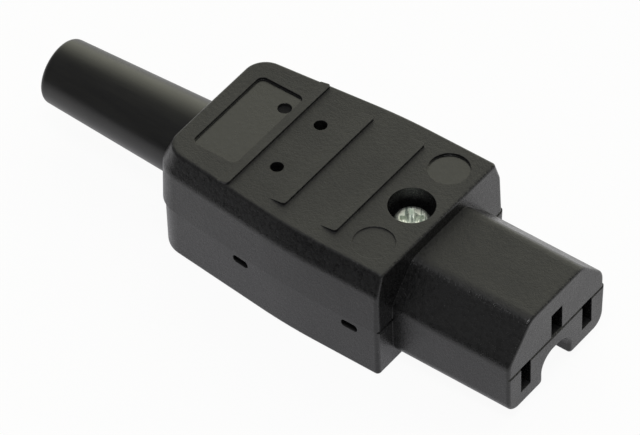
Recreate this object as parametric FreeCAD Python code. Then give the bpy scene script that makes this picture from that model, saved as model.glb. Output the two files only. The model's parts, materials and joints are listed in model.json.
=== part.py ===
import FreeCAD, Part
import math
import os

Vec = FreeCAD.Vector

# Rewireable appliance connector with a notched nose, in millimetres.
# The origin is the centre of the nose face on the parting plane, +X points out of the nose and +Z is up.

# Mating end
contact_spacing = 14.0
slot_width = 2.2
earth_slot_width = 2.5
slot_height = 4.45
nose_length = 19.2
face_wall = 1.6
chamber_half = 2.2
chamber_depth = 4.9
earth_chamber_height = 5.2
nose_side_wall = 1.7
nose_floor = 2.0
nose_roof = 2.6
nose_draft = 0.1
nose_foot_round = 2.3
notch_web = 1.7
notch_roof = 2.55
notch_flat = 0.6
notch_foot_round = 0.7
nose_bevel_width = 4.9
nose_bevel_height = 5.2
nose_bevel_round = 2.4
nose_edge_round = 0.5
seam = 0.25

# Contacts of folded sheet
sheet = 0.6
contact_setback = 0.4
receptacle_length = 15.5
pinch_distance = 3.0
arm_length = 6.5
mouth_half = 1.35
pinch_half = 0.85
root_half = 1.3
leaf_top_gap = 0.5
leaf_bend = 1.5
tail_width = 2.6
earth_tail_width = 3.6
earth_ring_width = 6.0
tail_overhang = 0.4
sheet_bend = 0.4

# Terminal cages, their clamp plates and screws
cage_length = 6.0
cage_width = 5.6
cage_base = 1.3
cage_head = 2.4
cage_edge = 0.35
wire_window_width = 4.0
wire_window_height = 4.6
plate_length = 5.0
plate_thickness = 0.8
plate_clearance = 0.1
plate_bevel = 0.3
terminal_thread_r = 1.5
terminal_head_r = 2.5
terminal_head_height = 1.8
terminal_head_gap = 0.4
terminal_travel = 2.5
terminal_head_room = 1.44
terminal_slot_width = 0.8
terminal_slot_depth = 0.9
thread_clearance = 0.05
pocket_wall = 1.0
pocket_height = 1.1
pocket_clearance = 0.1

# Housing screw and its insert
screw_setback = 4.75
screw_r = 1.5
screw_hole_r = 1.7
screw_head_r = 2.5
screw_head_height = 2.0
screw_sink = 2.3
screw_tip_gap = 0.3
counterbore_r = 3.3
boss_r = 4.1
insert_r = 2.5
insert_length = 2.5
insert_groove = 0.3
insert_seat_gap = 0.01
strip_clearance = 0.05
cross_span = 1.65
cross_width = 0.75
cross_depth = 1.35
cross_turn = 38.0
head_round = 0.8

# Spaces along the body, from the shoulder to the rear
cage_gap = 2.5
boss_gap = 1.0
side_room = 1.8
leg_gap = 0.85
earth_gap = 0.5
wire_room = 3.95
cord_run = 7.75
throat_wall = 1.5
rear_wall = 2.2

# Shells
wall = 1.8
floor_thickness = 2.15
rim_step = 0.3
lower_draft = 0.15
upper_draft = 0.2
shoulder_draft = 0.15
rear_step = 0.4
rear_half = 11.85
knee_setback = 15.7
knee_round = 90.0
front_corner = 0.6
rear_corner = 4.6
bottom_round = 0.5
top_bevel_width = 1.15
rear_bevel_width = 1.5
top_bevel_height = 3.45
top_edge_round = 0.5
bevel_edge_round = 2.5
side_slot_length = 2.7
side_slot_height = 1.2
side_slot_drop = 1.2
side_slot_round = 0.55
tab_thickness = 0.9
tab_depth = 2.2
tab_root = 1.5
tab_clearance = 0.1

# How near an edge lies to the plane that it is looked for in
edge_tolerance = 0.0001

# Marks on the top face
ridge_setback = 5.15
ridge_pitch = 8.55
ridge_height = 0.45
ridge_run = 2.6
ridge_half = 10.15
ridge_round = 0.5
rear_ridge_run = 1.8
rear_ridge_margin = 0.2
label_gap = 1.6
label_length = 7.5
label_half = 7.8
label_depth = 0.4
label_round = 1.0
dimple_setback = 1.3
dimple_y = 4.9
dimple_r = 1.0
dimple_depth = 0.6
disc_y = 8.5
disc_r = 2.95
disc_depth = 0.35
blank_depth = 0.15
peep_r = 0.95

# Cord path and bend sleeve
cord_r = 3.5
cord_lift = 0.3
saddle_clearance = 0.1
throat_clearance = 0.9
sleeve_root_wall = 2.47
sleeve_tip_wall = 1.42
sleeve_reach = 25.3
sleeve_tip_round = 0.9
sleeve_mouth_round = 0.3
flange_lip = 1.0
flange_thickness = 2.0
flange_play = 0.05
sleeve_fit = 0.05

# Cord clamp
clamp_length = 6.0
clamp_spacing = 9.76
clamp_opening = 4.3
clamp_foot_depth = 2.6
clamp_foot_width = 1.8
clamp_end = 3.82
clamp_round = 0.8
clamp_arch_r = 5.0
clamp_arch_rise = 1.8
clamp_hole_r = 1.6
clamp_thread_r = 1.45
clamp_head_r = 2.5
clamp_head_height = 1.6
clamp_lift = 2.2
clamp_head_room = 0.24
clamp_screw_length = 11.0
clamp_tip_gap = 0.3
post_r = 2.8
post_drop = 0.1
rib_thickness = 1.0
rib_inset = 0.5
seat_margin = 0.2

# Heights worked out from the sizes above
tail_z = -chamber_depth
floor_z = tail_z - cage_base
bottom_z = floor_z - floor_thickness
plate_z = tail_z + sheet
cage_top = tail_z + wire_window_height + cage_head
terminal_head_z = cage_top + terminal_head_gap
roof_z = terminal_head_z + terminal_head_height + terminal_travel + terminal_head_room
top_z = roof_z + wall
bevel_z = top_z - top_bevel_height
nose_bottom = -(chamber_depth + nose_floor)
nose_top = earth_chamber_height + nose_roof
screw_seat_z = top_z - screw_sink - screw_head_height
saddle_r = cord_r + saddle_clearance
saddle_z = cord_lift - saddle_r
clamp_under_z = saddle_z + clamp_opening
clamp_seat_z = clamp_under_z - clamp_foot_depth
clamp_top_z = roof_z - clamp_head_room - clamp_lift - clamp_head_height
clamp_tip_z = clamp_top_z - clamp_screw_length

# Places along and across the body
line_y = contact_spacing / 2
nose_half = line_y + chamber_half + nose_side_wall
notch_half = line_y - chamber_half - notch_web
notch_round = notch_half - notch_flat
shoulder_x = -nose_length
front_x = shoulder_x - wall
knee_x = shoulder_x - knee_setback
screw_x = shoulder_x - screw_setback
mouth_x = -face_wall - contact_setback
root_x = mouth_x - receptacle_length
cage_x = front_x - cage_gap - cage_length / 2
cage_y = boss_r + boss_gap + cage_width / 2
tail_y = (line_y + cage_y) / 2
body_half = cage_y + cage_width / 2 + side_room + wall
leg_x = screw_x - boss_r - leg_gap
earth_cage_x = leg_x - sheet - earth_gap - cage_length / 2
clamp_x = earth_cage_x - cage_length / 2 - wire_room - clamp_length / 2
clamp_y = clamp_spacing / 2
clamp_half = clamp_y + clamp_end
clamp_foot_y = clamp_half - clamp_foot_width
throat_x = clamp_x - clamp_length / 2 - cord_run
groove_x = throat_x - throat_wall
rear_wall_x = groove_x - flange_thickness - 2 * flange_play
rear_x = rear_wall_x - rear_wall
cavity_inset = wall + lower_draft
tab_length = 2 * (screw_setback - wall - front_corner - tab_clearance)
neck_r = cord_r + sleeve_root_wall
flange_r = neck_r + flange_lip
sides = (-1, 1)
terminal_places = {
    "line": (cage_x, cage_y),
    "neutral": (cage_x, -cage_y),
    "earth": (earth_cage_x, 0),
}


def box(x, y, z):
    """Block between the (low, high) pairs x, y and z."""
    return Part.makeBox(x[1] - x[0], y[1] - y[0], z[1] - z[0], Vec(x[0], y[0], z[0]))


def post(radius, x, y, z):
    """Upright cylinder at (x, y) between the (low, high) pair z."""
    return Part.makeCylinder(radius, z[1] - z[0], Vec(x, y, z[0]))


def round_bar(radius, x, y, z):
    """Cylinder along X at (y, z) between the (low, high) pair x."""
    return Part.makeCylinder(radius, x[1] - x[0], Vec(x[0], y, z), Vec(1, 0, 0))


def loop(points, radii):
    """Closed wire of straight runs through the points, each corner rounded by its radius."""
    starts = []
    ends = []
    bends = []
    for i, corner in enumerate(points):
        back = (points[i - 1] - corner).normalize()
        ahead = (points[(i + 1) % len(points)] - corner).normalize()
        half_angle = back.getAngle(ahead) / 2
        reach = radii[i] / math.tan(half_angle)
        inward = (back + ahead).normalize()
        bulge = radii[i] / math.sin(half_angle) - radii[i]
        starts.append(corner + back * reach)
        ends.append(corner + ahead * reach)
        bends.append(corner + inward * bulge)
    edges = []
    for i in range(len(points)):
        if radii[i] > 0:
            edges.append(Part.Arc(starts[i], bends[i], ends[i]).toShape())
        edges.append(Part.LineSegment(ends[i], starts[(i + 1) % len(points)]).toShape())
    return Part.Wire(edges)


def prism(wire, travel):
    """Solid swept by the face of a flat wire along the vector travel."""
    return Part.Face(wire).extrude(travel)


def edges_at(shape, axis, value):
    """Edges that lie wholly in the plane where the coordinate with index axis has this value."""
    found = []
    for edge in shape.Edges:
        low = (edge.BoundBox.XMin, edge.BoundBox.YMin, edge.BoundBox.ZMin)[axis]
        high = (edge.BoundBox.XMax, edge.BoundBox.YMax, edge.BoundBox.ZMax)[axis]
        if abs(low - value) < edge_tolerance and abs(high - value) < edge_tolerance:
            found.append(edge)
    return found


def join(first, others):
    """One solid out of touching solids."""
    return first.fuse(others).removeSplitter()


def half_at(x, inset):
    """Half width of the body at x, drawn in by inset."""
    slope = (body_half - rear_half) / (knee_x - rear_x)
    return body_half - inset - slope * max(0.0, knee_x - x)


def plan(z, inset, front, rear):
    """Outline of the body seen from above at height z, drawn in at its sides, shoulder and rear."""
    right = [
        Vec(shoulder_x - front, half_at(shoulder_x, inset), z),
        Vec(knee_x, half_at(knee_x, inset), z),
        Vec(rear_x + rear, half_at(rear_x + rear, inset), z),
    ]
    left = [Vec(p.x, -p.y, p.z) for p in reversed(right)]
    radii = [front_corner, knee_round, rear_corner - inset]
    return loop(right + left, radii + radii[::-1])


def cavity(z):
    """Hollow of the body between the (low, high) pair z, from the shoulder wall to the throat."""
    whole = prism(plan(z[0], cavity_inset, wall, 0), Vec(0, 0, z[1] - z[0]))
    return whole.common(box((throat_x, 0), (-body_half, body_half), z))


def cord_way():
    """Throat, flange groove and rear hole that the bend sleeve sits in, as one cutting tool."""
    throat = round_bar(cord_r + throat_clearance, (groove_x, throat_x), 0, cord_lift)
    groove = round_bar(flange_r + sleeve_fit, (rear_wall_x, groove_x), 0, cord_lift)
    hole = round_bar(neck_r + sleeve_fit, (rear_x - wall, rear_wall_x), 0, cord_lift)
    return throat.fuse([groove, hole])


def seam_cut(x, direction):
    """Wedge off the edge of one half where it meets the other on a front face at x."""
    half = body_half + rim_step
    corners = [
        Vec(x - seam, -half, 0),
        Vec(x + seam, -half, 0),
        Vec(x + seam, -half, 2 * seam * direction),
    ]
    return prism(loop(corners, [0, 0, 0]), Vec(0, 2 * half, 0))


def nose_edges(nose):
    """Edges round the nose face, apart from those on the parting plane."""
    parting = edges_at(nose, 2, 0)
    face = edges_at(nose, 0, 0)
    return [edge for edge in face if not any(edge.isSame(other) for other in parting)]


def lower_body():
    """Outside of the lower shell's body, with draft, a rounded foot, a rim proud on +Y and the seam."""
    top = plan(0, -rim_step / 2, 0, rear_step)
    top.translate(Vec(0, rim_step / 2, 0))
    foot = plan(bottom_z, lower_draft, 0, rear_step + lower_draft)
    body = Part.makeLoft([foot, top], True, True)
    body = body.makeFillet(bottom_round, edges_at(body, 2, bottom_z))
    return body.cut(seam_cut(shoulder_x, -1))


def lower_nose():
    """Lower half of the nose with the keying notch along its foot and the rim on +Y."""
    right = [
        Vec(0, nose_half, 0),
        Vec(0, nose_half - nose_draft, nose_bottom),
        Vec(0, notch_half, nose_bottom),
        Vec(0, notch_half, -notch_roof),
    ]
    left = [Vec(0, -p.y, p.z) for p in reversed(right)]
    right[0] += Vec(0, rim_step, 0)
    radii = [0, nose_foot_round, notch_foot_round, notch_round]
    outline = loop(right + left, radii + radii[::-1])
    nose = prism(outline, Vec(front_x, 0, 0))
    return nose.makeFillet(nose_edge_round, nose_edges(nose))


def lower_shell():
    """Lower half of the housing: chambers, boss, terminal pockets, cord saddle and side slots."""
    shell = join(lower_body(), [lower_nose()])
    cuts = [cavity((floor_z, wall))]
    for side in sides:
        y = side * line_y
        inside = (y - chamber_half, y + chamber_half)
        slot = (y - slot_width / 2, y + slot_width / 2)
        cuts.append(box((front_x - sheet, -face_wall), inside, (tail_z, wall)))
        cuts.append(box((-face_wall - sheet, wall), slot, (-slot_height, wall)))
    shell = shell.cut(cuts)
    adds = [post(boss_r, screw_x, 0, (floor_z, 0))]
    rib_x = clamp_length / 2 - rib_inset - rib_thickness / 2
    for side in sides:
        adds.append(post(post_r, clamp_x, side * clamp_y, (floor_z, saddle_z - post_drop)))
        inner = side * clamp_foot_y
        outer = side * (clamp_half + seat_margin)
        seat_y = (min(inner, outer), max(inner, outer))
        seat_x = (clamp_x - clamp_length / 2, clamp_x + clamp_length / 2)
        adds.append(box(seat_x, seat_y, (floor_z, clamp_seat_z)))
        middle = clamp_x + side * rib_x
        rib = (middle - rib_thickness / 2, middle + rib_thickness / 2)
        adds.append(box(rib, (-clamp_foot_y, clamp_foot_y), (floor_z, clamp_seat_z)))
    for x, y in terminal_places.values():
        adds.append(terminal_pocket(x, y))
    shell = join(shell, adds)
    saddle_x = (clamp_x - clamp_length / 2, clamp_x + clamp_length / 2)
    cuts = [
        round_bar(saddle_r, saddle_x, 0, cord_lift),
        post(insert_r + insert_seat_gap, screw_x, 0, (-insert_length, wall)),
        cord_way(),
        seam_cut(0, -1),
    ]
    for side in sides:
        hole_z = (clamp_tip_z - clamp_tip_gap, saddle_z)
        cuts.append(post(clamp_thread_r + thread_clearance, clamp_x, side * clamp_y, hole_z))
        for x in (screw_x, clamp_x):
            cuts.append(side_slot(x, side))
    return shell.cut(cuts).removeSplitter()


def terminal_pocket(x, y):
    """Low frame on the floor that keeps one terminal cage in place."""
    half_x = cage_length / 2 + pocket_clearance
    half_y = cage_width / 2 + pocket_clearance
    height = (floor_z, floor_z + pocket_height)
    outer_x = (x - half_x - pocket_wall, x + half_x + pocket_wall)
    outer_y = (y - half_y - pocket_wall, y + half_y + pocket_wall)
    frame = box(outer_x, outer_y, height)
    return frame.cut(box((x - half_x, x + half_x), (y - half_y, y + half_y), height))


def side_slot(x, side):
    """Slot through the lower shell's side wall, just under the parting plane."""
    inner = side * half_at(x, 2 * wall)
    outer = side * half_at(x, -wall)
    low = -side_slot_drop - side_slot_height / 2
    high = low + side_slot_height
    front = x + side_slot_length / 2
    rear = front - side_slot_length
    corners = [
        Vec(front, inner, low),
        Vec(front, inner, high),
        Vec(rear, inner, high),
        Vec(rear, inner, low),
    ]
    return prism(loop(corners, [side_slot_round] * 4), Vec(0, outer - inner, 0))


def upper_body():
    """Outside of the upper shell's body, bevelled along its sides and rear, with its half of the seam."""
    foot = plan(0, 0, 0, 0)
    bend = plan(bevel_z, upper_draft, shoulder_draft * bevel_z / top_z, upper_draft)
    roof = plan(top_z, upper_draft + top_bevel_width, shoulder_draft, upper_draft + rear_bevel_width)
    body = Part.makeLoft([foot, bend, roof], True, True)
    body = body.makeFillet(bevel_edge_round, edges_at(body, 2, bevel_z))
    body = body.makeFillet(top_edge_round, edges_at(body, 2, top_z))
    return body.cut(seam_cut(shoulder_x, 1))


def upper_nose():
    """Upper half of the nose, bevelled on both sides of the earth slot."""
    right = [
        Vec(0, nose_half, 0),
        Vec(0, nose_half, nose_top - nose_bevel_height),
        Vec(0, nose_half - nose_bevel_width, nose_top),
    ]
    left = [Vec(0, -p.y, p.z) for p in reversed(right)]
    radii = [0, nose_bevel_round, nose_bevel_round]
    nose = prism(loop(right + left, radii + radii[::-1]), Vec(front_x, 0, 0))
    return nose.makeFillet(nose_edge_round, nose_edges(nose))


def grip_ridge(x, half, run):
    """Wedge across the top face, with its step towards the nose and round corners at its ends."""
    corners = [
        Vec(x, -half, top_z - wall / 2),
        Vec(x, -half, top_z + ridge_height),
        Vec(x - run, -half, top_z),
        Vec(x - run, -half, top_z - wall / 2),
    ]
    wedge = prism(loop(corners, [0, 0, 0, 0]), Vec(0, 2 * half, 0))
    uprights = [edge for edge in edges_at(wedge, 0, x) if edge.BoundBox.ZLength > ridge_height]
    return wedge.makeFillet(ridge_round, uprights)


def locating_tabs():
    """Tabs under the upper shell's side walls that reach down inside the lower shell."""
    inner = cavity_inset + tab_clearance
    hanging = (-tab_depth, tab_root)
    seated = (0, tab_root)
    tabs = []
    for z, outer in ((hanging, inner), (seated, cavity_inset - tab_clearance)):
        rise = Vec(0, 0, z[1] - z[0])
        ring = prism(plan(z[0], outer, 0, 0), rise)
        ring = ring.cut(prism(plan(z[0], inner + tab_thickness, 0, 0), rise))
        for x in (screw_x, clamp_x):
            reach = (x - tab_length / 2, x + tab_length / 2)
            tabs.append(ring.common(box(reach, (-body_half, body_half), z)))
    return tabs


def label_recess():
    """Shallow rounded recess in the top face, with a dimple in its floor."""
    front = screw_x - ridge_setback - 2 * ridge_pitch - label_gap
    z = top_z - label_depth
    corners = [
        Vec(front, -label_half, z),
        Vec(front, label_half, z),
        Vec(front - label_length, label_half, z),
        Vec(front - label_length, -label_half, z),
    ]
    recess = prism(loop(corners, [label_round] * 4), Vec(0, 0, wall))
    return recess.fuse(post(dimple_r, front - dimple_setback, dimple_y, (z - dimple_depth, top_z)))


def upper_shell():
    """Upper half of the housing: earth chamber, screw boss, locating tabs and the marks on its top."""
    shell = join(upper_body(), [upper_nose()])
    earth = (-earth_slot_width / 2, earth_slot_width / 2)
    cuts = [
        cavity((-wall, roof_z)),
        box((front_x - sheet, -face_wall), (-chamber_half, chamber_half), (-wall, earth_chamber_height)),
        box((-face_wall - sheet, wall), earth, (-wall, slot_height)),
    ]
    shell = shell.cut(cuts)
    adds = [post(boss_r, screw_x, 0, (sheet + strip_clearance, roof_z + wall / 2))]
    adds += locating_tabs()
    first = screw_x - ridge_setback
    rear = first - 2 * ridge_pitch
    for x in (first, first - ridge_pitch):
        adds.append(grip_ridge(x, ridge_half, ridge_run))
    top_inset = upper_draft + top_bevel_width + rear_ridge_margin
    adds.append(grip_ridge(rear, half_at(rear, top_inset), rear_ridge_run))
    shell = join(shell, adds)
    above = top_z + wall
    cuts = [
        post(counterbore_r, screw_x, 0, (screw_seat_z, above)),
        post(screw_hole_r, screw_x, 0, (-wall, above)),
        post(disc_r, screw_x, disc_y, (top_z - disc_depth, above)),
        post(disc_r, screw_x, -disc_y, (top_z - blank_depth, above)),
        label_recess(),
        cord_way(),
        seam_cut(0, 1),
    ]
    for side in sides:
        cuts.append(post(peep_r, clamp_x, side * clamp_y, (roof_z - wall, above)))
    return shell.cut(cuts).removeSplitter()


def bend_sleeve():
    """Tapered sleeve with a flange held between the shells and a bore for the cord."""
    flange_front = groove_x - flange_play
    flange_rear = flange_front - flange_thickness
    tip_x = rear_x - sleeve_reach
    profile = [
        (flange_front, cord_r, sleeve_mouth_round),
        (flange_front, flange_r, sleeve_mouth_round),
        (flange_rear, flange_r, sleeve_mouth_round),
        (flange_rear, neck_r, 0),
        (rear_x, neck_r, 0),
        (tip_x, cord_r + sleeve_tip_wall, sleeve_tip_round),
        (tip_x, cord_r, sleeve_mouth_round),
    ]
    corners = [Vec(x, 0, cord_lift + radius) for x, radius, corner in profile]
    outline = loop(corners, [corner for x, radius, corner in profile])
    return Part.Face(outline).revolve(Vec(0, 0, cord_lift), Vec(1, 0, 0), 360)


def receptacle(y, z):
    """Two sprung leaves on a web, centred on y and standing on height z."""
    stations = (
        (mouth_x, mouth_half),
        (mouth_x - pinch_distance, pinch_half),
        (mouth_x - arm_length, root_half),
        (root_x, root_half),
    )
    height = Vec(0, 0, chamber_depth - leaf_top_gap)
    radii = [0, leaf_bend, leaf_bend, 0]
    leaves = []
    for side in sides:
        inner = [Vec(x, y + side * half, z) for x, half in stations]
        outer = [Vec(x, y + side * (half + sheet), z) for x, half in reversed(stations)]
        leaves.append(prism(loop(inner + outer, radii + radii[::-1]), height))
    width = root_half + sheet
    web = box((root_x, mouth_x - arm_length), (y - width, y + width), (z, z + sheet))
    return join(web, leaves)


def power_contact(side):
    """Line or neutral contact: receptacle in the nose and a tail into its terminal cage."""
    y = side * tail_y
    end = cage_x - cage_length / 2 - tail_overhang
    width = (y - tail_width / 2, y + tail_width / 2)
    tail = box((end, mouth_x - arm_length), width, (tail_z, tail_z + sheet))
    return join(receptacle(side * line_y, tail_z), [tail])


def earth_contact():
    """Earth contact: its tail lies under the housing screw and then steps down to its terminal."""
    end = earth_cage_x - cage_length / 2 - tail_overhang
    start = mouth_x - arm_length
    y = -earth_tail_width / 2
    strip = [
        (start, 0, 0),
        (leg_x, 0, sheet_bend),
        (leg_x, tail_z, sheet_bend + sheet),
        (end, tail_z, 0),
        (end, tail_z + sheet, 0),
        (leg_x - sheet, tail_z + sheet, sheet_bend),
        (leg_x - sheet, sheet, sheet_bend + sheet),
        (start, sheet, 0),
    ]
    corners = [Vec(x, y, z) for x, z, bend in strip]
    tail = prism(loop(corners, [bend for x, z, bend in strip]), Vec(0, earth_tail_width, 0))
    ring_x = (screw_x - earth_ring_width / 2, screw_x + screw_hole_r + sheet)
    ring = box(ring_x, (-earth_ring_width / 2, earth_ring_width / 2), (0, sheet))
    contact = join(receptacle(0, 0), [tail, ring])
    return contact.cut(post(screw_hole_r, screw_x, 0, (-sheet, 2 * sheet)))


def terminal(x, y):
    """Brass cage with a window for the wire and a threaded hole in its head."""
    half_y = cage_width / 2
    span = (x - cage_length / 2, x + cage_length / 2)
    cage = box(span, (y - half_y, y + half_y), (floor_z, cage_top))
    upright = [edge for edge in cage.Edges if edge.BoundBox.ZLength > cage_head]
    cage = cage.makeFillet(cage_edge, upright)
    half_w = wire_window_width / 2
    through = (x - cage_length, x + cage_length)
    opening = box(through, (y - half_w, y + half_w), (tail_z, tail_z + wire_window_height))
    hole = post(terminal_thread_r + thread_clearance, x, y, (tail_z, cage_top + wall))
    return cage.cut([opening, hole])


def clamp_plate(x, y):
    """Pressure plate that rides inside a cage, with its wire edge bevelled."""
    half_w = wire_window_width / 2 - plate_clearance
    span = (x - plate_length / 2, x + plate_length / 2)
    plate = box(span, (y - half_w, y + half_w), (plate_z, plate_z + plate_thickness))
    lower = [edge for edge in edges_at(plate, 2, plate_z) if edge.BoundBox.YLength > half_w]
    return plate.makeChamfer(plate_bevel, lower)


def screw(x, y, tip_z, head_z, thread_r, head_r, head_height):
    """Plain-shanked screw with a rounded head, its driver recess not yet cut."""
    head = post(head_r, x, y, (head_z, head_z + head_height))
    rim = edges_at(head, 2, head_z + head_height)
    head = head.makeFillet(min(head_round, head_height / 2), rim)
    return join(head, [post(thread_r, x, y, (tip_z, head_z))])


def slotted(shape, x, y, top, span):
    """The screw with a straight driver slot across its head."""
    half = terminal_slot_width / 2
    depth = (top - terminal_slot_depth, top + wall)
    return shape.cut(box((x - span, x + span), (y - half, y + half), depth))


def crossed(shape, x, y, top):
    """The screw with a cross recess in its head."""
    half = cross_width / 2
    depth = (top - cross_depth, top + wall)
    along = box((x - cross_span, x + cross_span), (y - half, y + half), depth)
    across = box((x - half, x + half), (y - cross_span, y + cross_span), depth)
    middle = Part.makeCone(half, cross_span / 2 + half / 2, cross_depth, Vec(x, y, top - cross_depth))
    recess = along.fuse([across, middle])
    recess.rotate(Vec(x, y, top), Vec(0, 0, 1), cross_turn)
    return shape.cut(recess)


def terminal_screw(x, y):
    """Slotted screw that presses a clamp plate down."""
    tip = plate_z + plate_thickness
    shape = screw(x, y, tip, terminal_head_z, terminal_thread_r, terminal_head_r, terminal_head_height)
    return slotted(shape, x, y, terminal_head_z + terminal_head_height, 2 * terminal_head_r)


def housing_screw():
    """Screw that holds the two shells together."""
    tip = -insert_length + screw_tip_gap
    shape = screw(screw_x, 0, tip, screw_seat_z, screw_r, screw_head_r, screw_head_height)
    return crossed(shape, screw_x, 0, screw_seat_z + screw_head_height)


def threaded_insert():
    """Brass insert in the lower boss, grooved round its middle."""
    sleeve = post(insert_r, screw_x, 0, (-insert_length, 0))
    band_z = (-insert_length * 2 / 3, -insert_length / 3)
    band = post(insert_r, screw_x, 0, band_z).cut(post(insert_r - insert_groove, screw_x, 0, band_z))
    bore = post(screw_r + thread_clearance, screw_x, 0, (-insert_length - wall, wall))
    return sleeve.cut([band, bore])


def cord_clamp():
    """Bridge over the cord that stands on two feet and is drawn down by two screws."""
    x = clamp_x - clamp_length / 2
    right = [
        Vec(x, clamp_foot_y, clamp_under_z),
        Vec(x, clamp_foot_y, clamp_seat_z),
        Vec(x, clamp_half, clamp_seat_z),
        Vec(x, clamp_half, clamp_top_z),
    ]
    left = [Vec(x, -p.y, p.z) for p in reversed(right)]
    radii = [0, 0, 0, clamp_round]
    bridge = prism(loop(right + left, radii + radii[::-1]), Vec(clamp_length, 0, 0))
    arch_z = clamp_under_z + clamp_arch_rise - clamp_arch_r
    cuts = [round_bar(clamp_arch_r, (x - wall, x + clamp_length + wall), 0, arch_z)]
    for side in sides:
        cuts.append(post(clamp_hole_r, clamp_x, side * clamp_y, (clamp_seat_z, clamp_top_z + wall)))
    return bridge.cut(cuts)


def clamp_screw(side):
    """Cross-headed screw of the cord clamp."""
    y = side * clamp_y
    shape = screw(clamp_x, y, clamp_tip_z, clamp_top_z, clamp_thread_r, clamp_head_r, clamp_head_height)
    return crossed(shape, clamp_x, y, clamp_top_z + clamp_head_height)


# Every piece under its own name
pieces = {
    "lower_shell": lower_shell(),
    "upper_shell": upper_shell(),
    "bend_sleeve": bend_sleeve(),
    "housing_screw": housing_screw(),
    "threaded_insert": threaded_insert(),
    "line_contact": power_contact(1),
    "neutral_contact": power_contact(-1),
    "earth_contact": earth_contact(),
    "cord_clamp": cord_clamp(),
    "left_clamp_screw": clamp_screw(-1),
    "right_clamp_screw": clamp_screw(1),
}
for name, (x, y) in terminal_places.items():
    pieces[name + "_terminal"] = terminal(x, y)
    pieces[name + "_clamp_plate"] = clamp_plate(x, y)
    pieces[name + "_terminal_screw"] = terminal_screw(x, y)

os.makedirs("parts", exist_ok=True)
for name, shape in pieces.items():
    shape.exportStep("parts/" + name + ".step")
    print(name, len(shape.Solids), shape.isValid(), round(shape.Volume, 2))
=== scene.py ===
import json
import math
import bmesh
import bpy
from mathutils import Matrix, Vector


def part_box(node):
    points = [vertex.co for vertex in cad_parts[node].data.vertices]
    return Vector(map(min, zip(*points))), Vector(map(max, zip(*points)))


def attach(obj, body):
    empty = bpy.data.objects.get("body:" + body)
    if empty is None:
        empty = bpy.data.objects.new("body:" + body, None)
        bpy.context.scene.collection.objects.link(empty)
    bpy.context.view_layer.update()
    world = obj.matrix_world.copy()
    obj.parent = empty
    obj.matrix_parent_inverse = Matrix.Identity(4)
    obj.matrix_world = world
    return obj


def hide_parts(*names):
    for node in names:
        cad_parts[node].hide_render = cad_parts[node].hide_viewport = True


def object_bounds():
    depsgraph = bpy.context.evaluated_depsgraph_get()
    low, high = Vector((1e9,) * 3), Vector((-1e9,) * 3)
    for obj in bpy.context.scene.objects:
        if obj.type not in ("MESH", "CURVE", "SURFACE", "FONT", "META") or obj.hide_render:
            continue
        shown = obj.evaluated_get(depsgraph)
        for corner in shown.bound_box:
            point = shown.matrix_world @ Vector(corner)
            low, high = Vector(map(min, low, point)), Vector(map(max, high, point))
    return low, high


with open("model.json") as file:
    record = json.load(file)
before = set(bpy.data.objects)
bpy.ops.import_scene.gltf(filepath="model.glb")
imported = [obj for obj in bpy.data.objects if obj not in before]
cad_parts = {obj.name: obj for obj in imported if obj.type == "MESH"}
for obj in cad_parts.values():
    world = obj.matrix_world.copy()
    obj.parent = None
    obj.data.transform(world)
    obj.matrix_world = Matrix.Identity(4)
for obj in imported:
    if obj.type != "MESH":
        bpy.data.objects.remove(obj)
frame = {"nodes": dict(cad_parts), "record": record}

cad_box = [list(corner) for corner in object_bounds()]
scene = bpy.context.scene


def middle(node):
    """Middle of a node's box."""
    low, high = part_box(node)
    return [(a + b) / 2 for a, b in zip(low, high)]


# Camera: angles in degrees, lengths in metres, lens and sensor in millimetres
AZIMUTH = 37.809
ELEVATION = 46.099
ROLL = -1.281
DISTANCE = 0.8564
TARGET = Vector((-0.035, 0, 0))
AIM_RIGHT = -0.00366
AIM_UP = 0.00066
LENS = 354.59
SENSOR_WIDTH = 36
CLIP_NEAR = 0.01
CLIP_FAR = 20

# Marks on the top of the upper shell, in metres
RIDGE_HEIGHT = 0.00045
TOP_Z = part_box("upper_shell")[1][2] - RIDGE_HEIGHT
SCREW_X = middle("housing_screw")[0]
DISC_Y = 0.0085
DISC_R = 0.00295
LABEL_X = (-0.05525, -0.04775)
LABEL_HALF = 0.0078
DIMPLE = (-0.04905, 0.0049)
DIMPLE_REACH = 0.0011
POLISHED_BELOW = 0.0002
DULL_BELOW = 0.0005
DEPTH_BLEND = 0.00005

# Edges of the plastic: nearly sharp at the parting line, softer away from it, in metres
PARTING_BAND = (0.0001, 0.0004)
EDGE_SOFTNESS = (0.00002, 0.00012)

# Bend sleeve, in metres
CORD_ENTRY = next(mount for mount in frame["record"]["mounts"] if mount["name"] == "cord_entry")
SLEEVE_Z = CORD_ENTRY["pos_m"][2]
BORE_R = CORD_ENTRY["dims"]["r_mm"] / 1000
NECK_R = 0.00597
TIP_R = 0.00492
FLANGE_LENGTH = 0.002
BODY_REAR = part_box("upper_shell")[0][0]
TIP_ROUND = 0.0009
MOUTH_ROUND = 0.0003
CORNER_STEPS = 6
SLEEVE_SEGMENTS = 128
SLEEVE_CREASE = 40.0

# Screws, in metres and degrees: the thread's depth is a share of its pitch
RECESS_TURN = 38.0
SCREW_R = 0.0015
SCREW_HEAD = 0.0020
SCREW_PITCH = 0.0005
TERMINAL_R = 0.0015
TERMINAL_HEAD = 0.0018
TERMINAL_PITCH = 0.0005
CLAMP_R = 0.00145
CLAMP_HEAD = 0.0016
CLAMP_PITCH = 0.0011
THREAD_DEPTH = 0.35
THREAD_STEPS = 8
SCREW_CREASE = 50.0
WELD = 1e-7
NEAR = 2e-6

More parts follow.
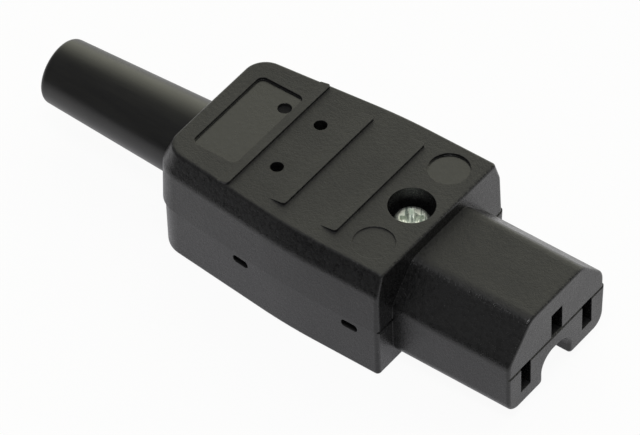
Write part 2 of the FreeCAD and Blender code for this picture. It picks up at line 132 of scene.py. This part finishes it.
# Colours of the materials
SHELL_TONE = (0.009, 0.009, 0.0095, 1)
CLAMP_TONE = (0.04, 0.04, 0.04, 1)
BLACK = (0, 0, 0, 1)
WHITE = (1, 1, 1, 1)
RUBBER_DARK = (0.003, 0.003, 0.003, 1)
RUBBER_PALE = (0.007, 0.007, 0.006, 1)
ZINC_BRIGHT = (0.97, 1.0, 0.94, 1)
ZINC_DULL = (0.84, 0.90, 0.83, 1)
ZINC_STREAK = (0.27, 0.32, 0.29, 1)
CONTACT_BRIGHT = (0.80, 0.60, 0.28, 1)
CONTACT_DULL = (0.66, 0.47, 0.20, 1)
TERMINAL_BRIGHT = (0.76, 0.56, 0.24, 1)
TERMINAL_DULL = (0.60, 0.43, 0.18, 1)
STEEL_BRIGHT = (0.62, 0.61, 0.59, 1)
STEEL_DULL = (0.48, 0.47, 0.46, 1)
PLASTIC_IOR = 1.5

# Floor, in metres: to gloss it is a painted reflection, a glow that is dark in front of the object and white
# behind, with some real shadow mixed in
FLOOR_GAP = 0.00002
FLOOR_Z = cad_box[0][2] - FLOOR_GAP
FLOOR_HALF = 3.0
FLOOR_TONE = (0.9, 0.9, 0.9, 1)
SHADOW_SHARE = 0.06
PAINTED_REFLECTION_EDGE = (-0.046, -0.027)
PAINTED_REFLECTION_LIGHT = (0.045, 1.0)
SHEET_SHADE = 0.4
PAINTED_REFLECTION_TONE = (0.97, 0.96, 1, 1)

# Light: a bright wall behind the object, a dim room on the camera's side and one soft lamp overhead
WINDOW = Vector((-0.2, 0.95, 0.25))
WINDOW_SPREAD = (0.4, 1.0)
WINDOW_LIGHT = (1.85, 1.85, 1.55, 1)
ROOM_LIGHT = (0.26, 0.26, 0.26, 1)
LAMP_FROM = Vector((0.19, -0.25, 0.95))
LAMP_DISTANCE = 0.6
LAMP_SIZE = 0.25
LAMP_POWER = 1.1


def add_object(name, data):
    """New object in the scene."""
    made = bpy.data.objects.new(name, data)
    scene.collection.objects.link(made)
    return made


# Camera at the photograph's viewing angle
def look_from(azimuth, elevation, roll):
    """Camera round the target by these angles in degrees, aimed a little beside it."""
    a, e, r = math.radians(azimuth), math.radians(elevation), math.radians(roll)
    back = Vector((math.sin(a) * math.cos(e), -math.cos(a) * math.cos(e), math.sin(e)))
    right = Vector((math.cos(a), math.sin(a), 0))
    up = back.cross(right)
    right, up = math.cos(r) * right + math.sin(r) * up, math.cos(r) * up - math.sin(r) * right
    eye = TARGET + back * DISTANCE
    aim = TARGET + right * AIM_RIGHT + up * AIM_UP
    back = (eye - aim).normalized()
    right = up.cross(back).normalized()
    up = back.cross(right)
    data = bpy.data.cameras.new("camera")
    data.sensor_fit = "HORIZONTAL"
    data.sensor_width = SENSOR_WIDTH
    data.lens = LENS
    data.clip_start = CLIP_NEAR
    data.clip_end = CLIP_FAR
    camera = add_object("camera", data)
    camera.matrix_world = Matrix.Translation(eye) @ Matrix((right, up, back)).transposed().to_4x4()
    return camera


scene.camera = look_from(AZIMUTH, ELEVATION, ROLL)
scene.view_settings.view_transform = "Standard"


# Node helpers
class Graph:
    """Node tree of one material or of the world, with short calls to add and join nodes."""

    def __init__(self, tree):
        self.tree = tree
        tree.nodes.clear()

    def put(self, socket, value):
        """Joins an output to the socket, or sets the socket to a plain value."""
        if isinstance(value, bpy.types.NodeSocket):
            self.tree.links.new(value, socket)
        else:
            socket.default_value = value

    def add(self, kind, inputs=None, **settings):
        """A new node with its settings and inputs given by name or number."""
        node = self.tree.nodes.new(kind)
        for name, value in settings.items():
            setattr(node, name, value)
        for key, value in (inputs or {}).items():
            self.put(node.inputs[key], value)
        return node

    def math(self, operation, a, b=0.0, clamp=False):
        """Result of one sum on numbers or outputs."""
        return self.add("ShaderNodeMath", {0: a, 1: b}, operation=operation, use_clamp=clamp).outputs[0]

    def ramp(self, value, span, result=(0.0, 1.0)):
        """Smooth step of the value across its span, from the first result to the second."""
        inputs = {"Value": value, "From Min": span[0], "From Max": span[1]}
        inputs.update({"To Min": result[0], "To Max": result[1]})
        return self.add("ShaderNodeMapRange", inputs, interpolation_type="SMOOTHSTEP").outputs["Result"]

    def noise(self, vector, scale, detail, rough):
        """Noise of so many grains a metre, with finer octaves."""
        inputs = {"Vector": vector, "Scale": scale, "Detail": detail, "Roughness": rough}
        return self.add("ShaderNodeTexNoise", inputs).outputs["Fac"]

    def mix(self, factor, a, b):
        """Colour mix of a and b."""
        node = self.add("ShaderNodeMix", data_type="RGBA")
        self.put(node.inputs[0], factor)
        self.put(node.inputs[6], a)
        self.put(node.inputs[7], b)
        return node.outputs[2]

    def place(self):
        """Position on the object in the part's own frame, and its three coordinates."""
        vector = self.add("ShaderNodeTexCoord").outputs["Object"]
        xyz = self.add("ShaderNodeSeparateXYZ", {0: vector})
        return vector, xyz.outputs[0], xyz.outputs[1], xyz.outputs[2]

    def upward(self):
        """How far the surface faces up, from -1 to 1."""
        facing = self.add("ShaderNodeNewGeometry").outputs["True Normal"]
        return self.add("ShaderNodeSeparateXYZ", {0: facing}).outputs[2]

    def stretched(self, vector, scale):
        """Position with its own scale along each axis."""
        return self.add("ShaderNodeVectorMath", {0: vector, 1: scale}, operation="MULTIPLY").outputs[0]

    def within(self, x, y, centre, radius):
        """1 where (x, y) is nearer to the centre than the radius, and 0 elsewhere."""
        along = self.math("SUBTRACT", x, centre[0])
        across = self.math("SUBTRACT", y, centre[1])
        square = self.math("ADD", self.math("MULTIPLY", along, along), self.math("MULTIPLY", across, across))
        return self.math("LESS_THAN", square, radius ** 2)

    def bump(self, height, strength, distance, normal):
        """Normal bent by the height, over a normal that is already there."""
        inputs = {"Height": height, "Strength": strength, "Distance": distance, "Normal": normal}
        return self.add("ShaderNodeBump", inputs).outputs["Normal"]

    def soft_edge(self, radius):
        """Surface normal with its sharp edges rounded off by the radius."""
        return self.add("ShaderNodeBevel", {"Radius": radius}, samples=6).outputs["Normal"]

    def principled(self, inputs):
        """The material's one shader."""
        shader = self.add("ShaderNodeBsdfPrincipled", inputs)
        out = self.add("ShaderNodeOutputMaterial")
        self.put(out.inputs["Surface"], shader.outputs["BSDF"])


def material(name):
    """Empty node material and its graph."""
    made = bpy.data.materials.new(name)
    made.use_nodes = True
    return made, Graph(made.node_tree)


# Black moulded plastic
def top_marks(g, x, y, z):
    """Masks of the polished floors of the label and the discs, and of the dull dimple in the label."""
    polished_z = TOP_Z - POLISHED_BELOW
    dull_z = TOP_Z - DULL_BELOW
    sunk = g.ramp(z, (polished_z - DEPTH_BLEND, polished_z), (1.0, 0.0))
    shallow = g.ramp(z, (dull_z - DEPTH_BLEND, dull_z))
    label_middle = (LABEL_X[0] + LABEL_X[1]) / 2
    beside = g.math("ABSOLUTE", g.math("SUBTRACT", x, label_middle))
    inside_x = g.math("LESS_THAN", beside, LABEL_X[1] - label_middle)
    inside_y = g.math("LESS_THAN", g.math("ABSOLUTE", y), LABEL_HALF)
    label = g.math("MULTIPLY", inside_x, inside_y)
    disc = g.within(x, g.math("ABSOLUTE", y), (SCREW_X, DISC_Y), DISC_R)
    floors = g.math("MULTIPLY", sunk, shallow)
    polished = g.math("MULTIPLY", g.math("MAXIMUM", label, disc), floors)
    deep = g.math("SUBTRACT", 1.0, shallow)
    dimple = g.math("MULTIPLY", g.within(x, y, DIMPLE, DIMPLE_REACH), deep)
    return polished, dimple


def shell_plastic(name, tone, marked):
    """Spark texture over coarser pebbles, which show most on sloping faces, and duller where it is level."""
    made, g = material(name)
    vector, x, y, z = g.place()
    grain = g.noise(vector, scale=7500.0, detail=2.0, rough=0.6)
    coarse = g.noise(vector, scale=3800.0, detail=2.0, rough=0.55)
    pebble = g.noise(vector, scale=1600.0, detail=3.0, rough=0.6)
    cloud = g.noise(vector, scale=170.0, detail=3.0, rough=0.55)
    upward = g.upward()
    level = g.ramp(upward, (0.85, 0.97))
    slope = g.math("SUBTRACT", g.ramp(upward, (0.2, 0.5), (0.8, 3.2)), g.math("MULTIPLY", level, 1.4))
    height = g.math("ADD", grain, g.math("MULTIPLY", coarse, 0.6))
    height = g.math("ADD", g.math("MULTIPLY", pebble, slope), height)
    rough = g.math("ADD", g.ramp(cloud, (0.3, 0.7), (0.21, 0.27)), g.ramp(grain, (0.3, 0.7), (0.08, 0.0)))
    rough = g.math("ADD", rough, g.ramp(pebble, (0.3, 0.7), (-0.03, 0.03)))
    rough = g.math("ADD", rough, g.math("MULTIPLY", level, 0.28))
    fine = g.ramp(level, (0.0, 1.0), (0.8, 1.0))
    if marked:
        polished, dimple = top_marks(g, x, y, z)
        rough = g.math("SUBTRACT", rough, g.math("MULTIPLY", polished, 0.34))
        rough = g.math("ADD", rough, g.math("MULTIPLY", dimple, 0.4), clamp=True)
        fine = g.math("SUBTRACT", fine, g.math("MULTIPLY", polished, 0.7))
    shade = g.ramp(cloud, (0.25, 0.75), (0.85, 1.15))
    shade = g.math("MULTIPLY", shade, g.ramp(grain, (0.3, 0.7), (0.8, 1.2)))
    shade = g.math("MULTIPLY", shade, g.ramp(pebble, (0.35, 0.65), (0.5, 1.5)))
    colour = g.mix(shade, BLACK, tone)
    edge = g.ramp(g.math("ABSOLUTE", z), PARTING_BAND, EDGE_SOFTNESS)
    normal = g.bump(height, strength=fine, distance=0.00004, normal=g.soft_edge(edge))
    g.principled({"Base Color": colour, "Roughness": rough, "Normal": normal, "IOR": PLASTIC_IOR})
    return made


def sleeve_rubber():
    """Smooth satin rubber, drawn lengthwise."""
    made, g = material("sleeve_rubber")
    vector = g.place()[0]
    drawn = g.noise(g.stretched(vector, (120.0, 1500.0, 1500.0)), scale=1.0, detail=3.0, rough=0.6)
    speck = g.noise(vector, scale=3600.0, detail=2.0, rough=0.5)
    cloud = g.noise(vector, scale=140.0, detail=3.0, rough=0.5)
    rough = g.math("ADD", g.ramp(cloud, (0.3, 0.7), (0.30, 0.36)), g.math("MULTIPLY", drawn, 0.05))
    colour = g.mix(g.ramp(drawn, (0.3, 0.7)), RUBBER_DARK, RUBBER_PALE)
    height = g.math("ADD", g.math("MULTIPLY", drawn, 0.6), g.math("MULTIPLY", speck, 0.5))
    normal = g.bump(height, strength=0.12, distance=0.00004, normal=g.soft_edge(0.00015))
    g.principled({"Base Color": colour, "Roughness": rough, "Normal": normal, "IOR": PLASTIC_IOR})
    return made


def zinc_plate():
    """Bright zinc plate, with dark streaks along one direction that are strongest on faces turned upwards."""
    made, g = material("bright_zinc")
    vector = g.place()[0]
    inputs = {"Vector": vector, "Angle": math.radians(-RECESS_TURN)}
    turned = g.add("ShaderNodeVectorRotate", inputs, rotation_type="Z_AXIS").outputs[0]
    streak = g.noise(g.stretched(turned, (3200.0, 350.0, 350.0)), scale=1.0, detail=3.0, rough=0.6)
    stain = g.noise(vector, scale=900.0, detail=4.0, rough=0.6)
    # dark streaks along one direction, faded where the face turns away from up
    facing_up = g.ramp(g.upward(), (0.2, 0.7), (0.15, 1.0))
    bright = g.mix(g.ramp(stain, (0.35, 0.7)), ZINC_BRIGHT, ZINC_DULL)
    dark = g.math("MULTIPLY", g.ramp(streak, (0.38, 0.54), (1.0, 0.0)), facing_up)
    colour = g.mix(dark, bright, ZINC_STREAK)
    rough = g.ramp(stain, (0.3, 0.7), (0.42, 0.58))
    height = g.math("ADD", g.math("MULTIPLY", streak, facing_up), g.math("MULTIPLY", stain, 0.5))
    normal = g.bump(height, strength=0.35, distance=0.00005, normal=g.soft_edge(0.0001))
    g.principled({"Base Color": colour, "Metallic": 1.0, "Roughness": rough, "Normal": normal})
    return made


def drawn_metal(name, bright, dull, roughness):
    """Metal with a drawn grain along X and a mottled tarnish."""
    made, g = material(name)
    vector = g.place()[0]
    grain = g.noise(g.stretched(vector, (300.0, 5000.0, 5000.0)), scale=1.0, detail=3.0, rough=0.6)
    stain = g.noise(vector, scale=350.0, detail=4.0, rough=0.6)
    colour = g.mix(g.ramp(stain, (0.3, 0.7)), bright, dull)
    rough = g.math("ADD", g.ramp(stain, (0.3, 0.7), roughness), g.math("MULTIPLY", grain, 0.08))
    normal = g.bump(grain, strength=0.15, distance=0.00003, normal=g.soft_edge(0.00008))
    g.principled({"Base Color": colour, "Metallic": 1.0, "Roughness": rough, "Normal": normal})
    return made


def dress(node, made):
    """Gives the whole of a CAD node one material."""
    slots = frame["nodes"][node].material_slots
    for slot in slots:
        slot.material = made
    if not slots:
        frame["nodes"][node].data.materials.append(made)


dress("lower_shell", shell_plastic("lower_shell_plastic", SHELL_TONE, False))
dress("upper_shell", shell_plastic("upper_shell_plastic", SHELL_TONE, True))
dress("cord_clamp", shell_plastic("clamp_plastic", CLAMP_TONE, False))
contact_brass = drawn_metal("contact_brass", CONTACT_BRIGHT, CONTACT_DULL, (0.22, 0.36))
terminal_brass = drawn_metal("terminal_brass", TERMINAL_BRIGHT, TERMINAL_DULL, (0.26, 0.42))
plate_steel = drawn_metal("plate_steel", STEEL_BRIGHT, STEEL_DULL, (0.28, 0.42))
dress("threaded_insert", terminal_brass)
for wire in ("line", "neutral", "earth"):
    dress(wire + "_contact", contact_brass)
    dress(wire + "_terminal", terminal_brass)
    dress(wire + "_clamp_plate", plate_steel)


# Bend sleeve turned from its profile, from the flange between the shells to the tip and back along the bore
def rounded(profile, steps):
    """Closed outline through corners (x, r, radius), with an arc of so many steps where there is a radius."""
    points = [Vector((x, r)) for x, r, radius in profile]
    outline = []
    for i, corner in enumerate(points):
        radius = profile[i][2]
        if radius == 0:
            outline.append(corner)
            continue
        back = (points[i - 1] - corner).normalized()
        ahead = (points[(i + 1) % len(points)] - corner).normalized()
        half = back.angle(ahead) / 2
        centre = corner + (back + ahead).normalized() * (radius / math.sin(half))
        first = corner + back * (radius / math.tan(half)) - centre
        last = corner + ahead * (radius / math.tan(half)) - centre
        turn = first.angle(last)
        for step in range(steps + 1):
            share = step / steps
            spread = math.sin((1 - share) * turn) * first + math.sin(share * turn) * last
            outline.append(centre + spread / math.sin(turn))
    return outline


def lathe(name, outline, height, segments):
    """Closed mesh of an (x, radius) outline turned about the line along X at this height."""
    points, faces = [], []
    count = len(outline)
    for s in range(segments):
        angle = 2 * math.pi * s / segments
        for x, radius in outline:
            points.append((x, radius * math.sin(angle), height + radius * math.cos(angle)))
        following = (s + 1) % segments
        for i in range(count):
            j = (i + 1) % count
            faces.append((s * count + i, following * count + i, following * count + j, s * count + j))
    mesh = bpy.data.meshes.new(name)
    mesh.from_pydata(points, [], faces)
    return mesh


def smooth(mesh, crease):
    """Smooth shading, with edges sharper than the crease angle in degrees left sharp."""
    mesh.shade_smooth()
    mesh.set_sharp_from_angle(angle=math.radians(crease))


def turned_sleeve():
    """Tapered sleeve with its flange and bore."""
    low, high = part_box("bend_sleeve")
    flange_r = high[2] - SLEEVE_Z
    flange_rear = high[0] - FLANGE_LENGTH
    profile = [
        (high[0], BORE_R, MOUTH_ROUND),
        (high[0], flange_r, MOUTH_ROUND),
        (flange_rear, flange_r, MOUTH_ROUND),
        (flange_rear, NECK_R, 0),
        (BODY_REAR, NECK_R, 0),
        (low[0], TIP_R, TIP_ROUND),
        (low[0], BORE_R, MOUTH_ROUND),
    ]
    mesh = lathe("turned_sleeve", rounded(profile, CORNER_STEPS), SLEEVE_Z, SLEEVE_SEGMENTS)
    smooth(mesh, SLEEVE_CREASE)
    mesh.materials.append(sleeve_rubber())
    piece = add_object("turned_sleeve", mesh)
    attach(piece, "base")
    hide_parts("bend_sleeve")


turned_sleeve()


# Screws: each plain screw copied, with a right-hand thread cut into its shank
def ring(mesh, axis, radius, z):
    """Corners of the mesh on this circle, in order round the axis."""
    level = [v for v in mesh.verts if abs(v.co.z - z) < NEAR]
    corners = [v for v in level if abs((v.co.xy - axis).length - radius) < NEAR]
    return sorted(corners, key=lambda v: math.atan2(v.co.y - axis.y, v.co.x - axis.x))


def thread_row(mesh, axis, radius, z, pitch, depth, corners):
    """New corners round the thread at this height, one beside each of the corners given."""
    row = []
    for corner in corners:
        out = (corner.co.xy - axis).normalized()
        turn = 2 * math.pi * z / pitch - math.atan2(out.y, out.x)
        place = axis + out * (radius - depth * (0.5 + 0.5 * math.cos(turn)))
        row.append(mesh.verts.new((place.x, place.y, z)))
    return row


def cut_thread(mesh, axis, radius, seat, tip, pitch):
    """Puts a thread that runs out at both ends in place of the shank's plain wall, if its end rings match."""
    upper, lower = ring(mesh, axis, radius, seat), ring(mesh, axis, radius, tip)
    if len(upper) != len(lower):
        return
    ends = set(upper + lower)
    wall = [face for face in mesh.faces if abs(face.normal.z) < 0.5 and ends.issuperset(face.verts)]
    bmesh.ops.delete(mesh, geom=wall, context="FACES")
    count = round((seat - tip) / pitch * THREAD_STEPS)
    rows = [upper]
    for k in range(1, count):
        z = seat + (tip - seat) * k / count
        run_out = min(1, k / THREAD_STEPS, (count - k) / THREAD_STEPS)
        rows.append(thread_row(mesh, axis, radius, z, pitch, THREAD_DEPTH * pitch * run_out, upper))
    rows.append(lower)
    for above, below in zip(rows, rows[1:]):
        for i in range(len(upper)):
            j = (i + 1) % len(upper)
            mesh.faces.new((above[i], below[i], below[j], above[j]))


def threaded_screw(node, body, radius, head_height, pitch, made):
    """Copy of a screw with its thread, which takes the place of the plain one."""
    name = "threaded_" + node
    low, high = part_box(node)
    plain = frame["nodes"][node].data
    data = bpy.data.meshes.new(name)
    data.from_pydata([tuple(v.co) for v in plain.vertices], [], [tuple(p.vertices) for p in plain.polygons])
    mesh = bmesh.new()
    mesh.from_mesh(data)
    bmesh.ops.remove_doubles(mesh, verts=mesh.verts[:], dist=WELD)
    cut_thread(mesh, Vector(middle(node)[:2]), radius, high[2] - head_height, low[2], pitch)
    mesh.to_mesh(data)
    mesh.free()
    smooth(data, SCREW_CREASE)
    data.materials.append(made)
    piece = add_object(name, data)
    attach(piece, body)
    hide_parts(node)


bright_zinc = zinc_plate()
threaded_screw("housing_screw", "housing_screw", SCREW_R, SCREW_HEAD, SCREW_PITCH, bright_zinc)
for wire in ("line", "neutral", "earth"):
    node, body = wire + "_terminal_screw", wire + "_screw"
    threaded_screw(node, body, TERMINAL_R, TERMINAL_HEAD, TERMINAL_PITCH, bright_zinc)
for side in ("left", "right"):
    node = side + "_clamp_screw"
    threaded_screw(node, node, CLAMP_R, CLAMP_HEAD, CLAMP_PITCH, bright_zinc)


# Pale floor that keeps a soft shadow, and glows to gloss as a painted reflection
def floor():
    """Flat sheet under the object, white to the camera; to gloss a painted reflection, a glow white behind
    the object and dark in front.
    """
    low, high = -FLOOR_HALF, FLOOR_HALF
    corners = [(low, low, FLOOR_Z), (high, low, FLOOR_Z), (high, high, FLOOR_Z), (low, high, FLOOR_Z)]
    mesh = bpy.data.meshes.new("floor")
    mesh.from_pydata(corners, [], [(0, 1, 2, 3)])
    made, g = material("pale_floor")
    y = g.place()[2]
    path = g.add("ShaderNodeLightPath").outputs
    # painted reflection: what gloss sees of the floor is a glow set by position, dark in front of the object
    # and white behind
    painted_reflection_strength = g.ramp(y, PAINTED_REFLECTION_EDGE, PAINTED_REFLECTION_LIGHT)
    diffuse = g.add("ShaderNodeBsdfDiffuse", {"Color": FLOOR_TONE}).outputs[0]
    white = g.add("ShaderNodeEmission", {"Color": WHITE, "Strength": 1.0}).outputs[0]
    painted_reflection = g.add("ShaderNodeEmission", {"Color": PAINTED_REFLECTION_TONE, "Strength": painted_reflection_strength}).outputs[0]
    # part of what gloss sees is the floor's real lit diffuse with its shadow, the rest is the painted
    # reflection
    shaded = g.ramp(y, PAINTED_REFLECTION_EDGE, (0.0, SHEET_SHADE))
    painted_and_lit_reflection = g.add("ShaderNodeMixShader", {0: shaded, 1: painted_reflection, 2: diffuse}).outputs[0]
    seen = g.add("ShaderNodeMixShader", {0: SHADOW_SHARE, 1: white, 2: diffuse}).outputs[0]
    lit = g.add("ShaderNodeMixShader", {0: path["Is Camera Ray"], 1: diffuse, 2: seen}).outputs[0]
    shiny = g.math("MAXIMUM", path["Is Glossy Ray"], path["Is Transmission Ray"])
    both = g.add("ShaderNodeMixShader", {0: shiny, 1: lit, 2: painted_and_lit_reflection}).outputs[0]
    out = g.add("ShaderNodeOutputMaterial")
    g.put(out.inputs["Surface"], both)
    mesh.materials.append(made)
    add_object("floor", mesh)


floor()


# Light
def studio():
    """World that is white to the camera and lights the object from a wide window."""
    world = bpy.data.worlds.new("studio")
    world.use_nodes = True
    scene.world = world
    g = Graph(world.node_tree)
    towards = g.add("ShaderNodeTexCoord").outputs["Generated"]
    inputs = {0: towards, 1: WINDOW.normalized()}
    facing = g.add("ShaderNodeVectorMath", inputs, operation="DOT_PRODUCT").outputs["Value"]
    light = g.mix(g.ramp(facing, WINDOW_SPREAD), ROOM_LIGHT, WINDOW_LIGHT)
    room = g.add("ShaderNodeBackground", {"Color": light, "Strength": 1.0}).outputs[0]
    white = g.add("ShaderNodeBackground", {"Color": WHITE, "Strength": 1.0}).outputs[0]
    seen = g.add("ShaderNodeLightPath").outputs["Is Camera Ray"]
    both = g.add("ShaderNodeMixShader", {0: seen, 1: room, 2: white}).outputs[0]
    out = g.add("ShaderNodeOutputWorld")
    g.put(out.inputs["Surface"], both)


def lamp():
    """Soft lamp high on the camera's side, which reaches down into the screw well."""
    data = bpy.data.lights.new("overhead", "AREA")
    data.shape = "DISK"
    data.size = LAMP_SIZE
    data.energy = LAMP_POWER
    piece = add_object("overhead", data)
    towards = LAMP_FROM.normalized()
    piece.location = TARGET + towards * LAMP_DISTANCE
    piece.rotation_euler = towards.to_track_quat("Z", "Y").to_euler()


studio()
lamp()
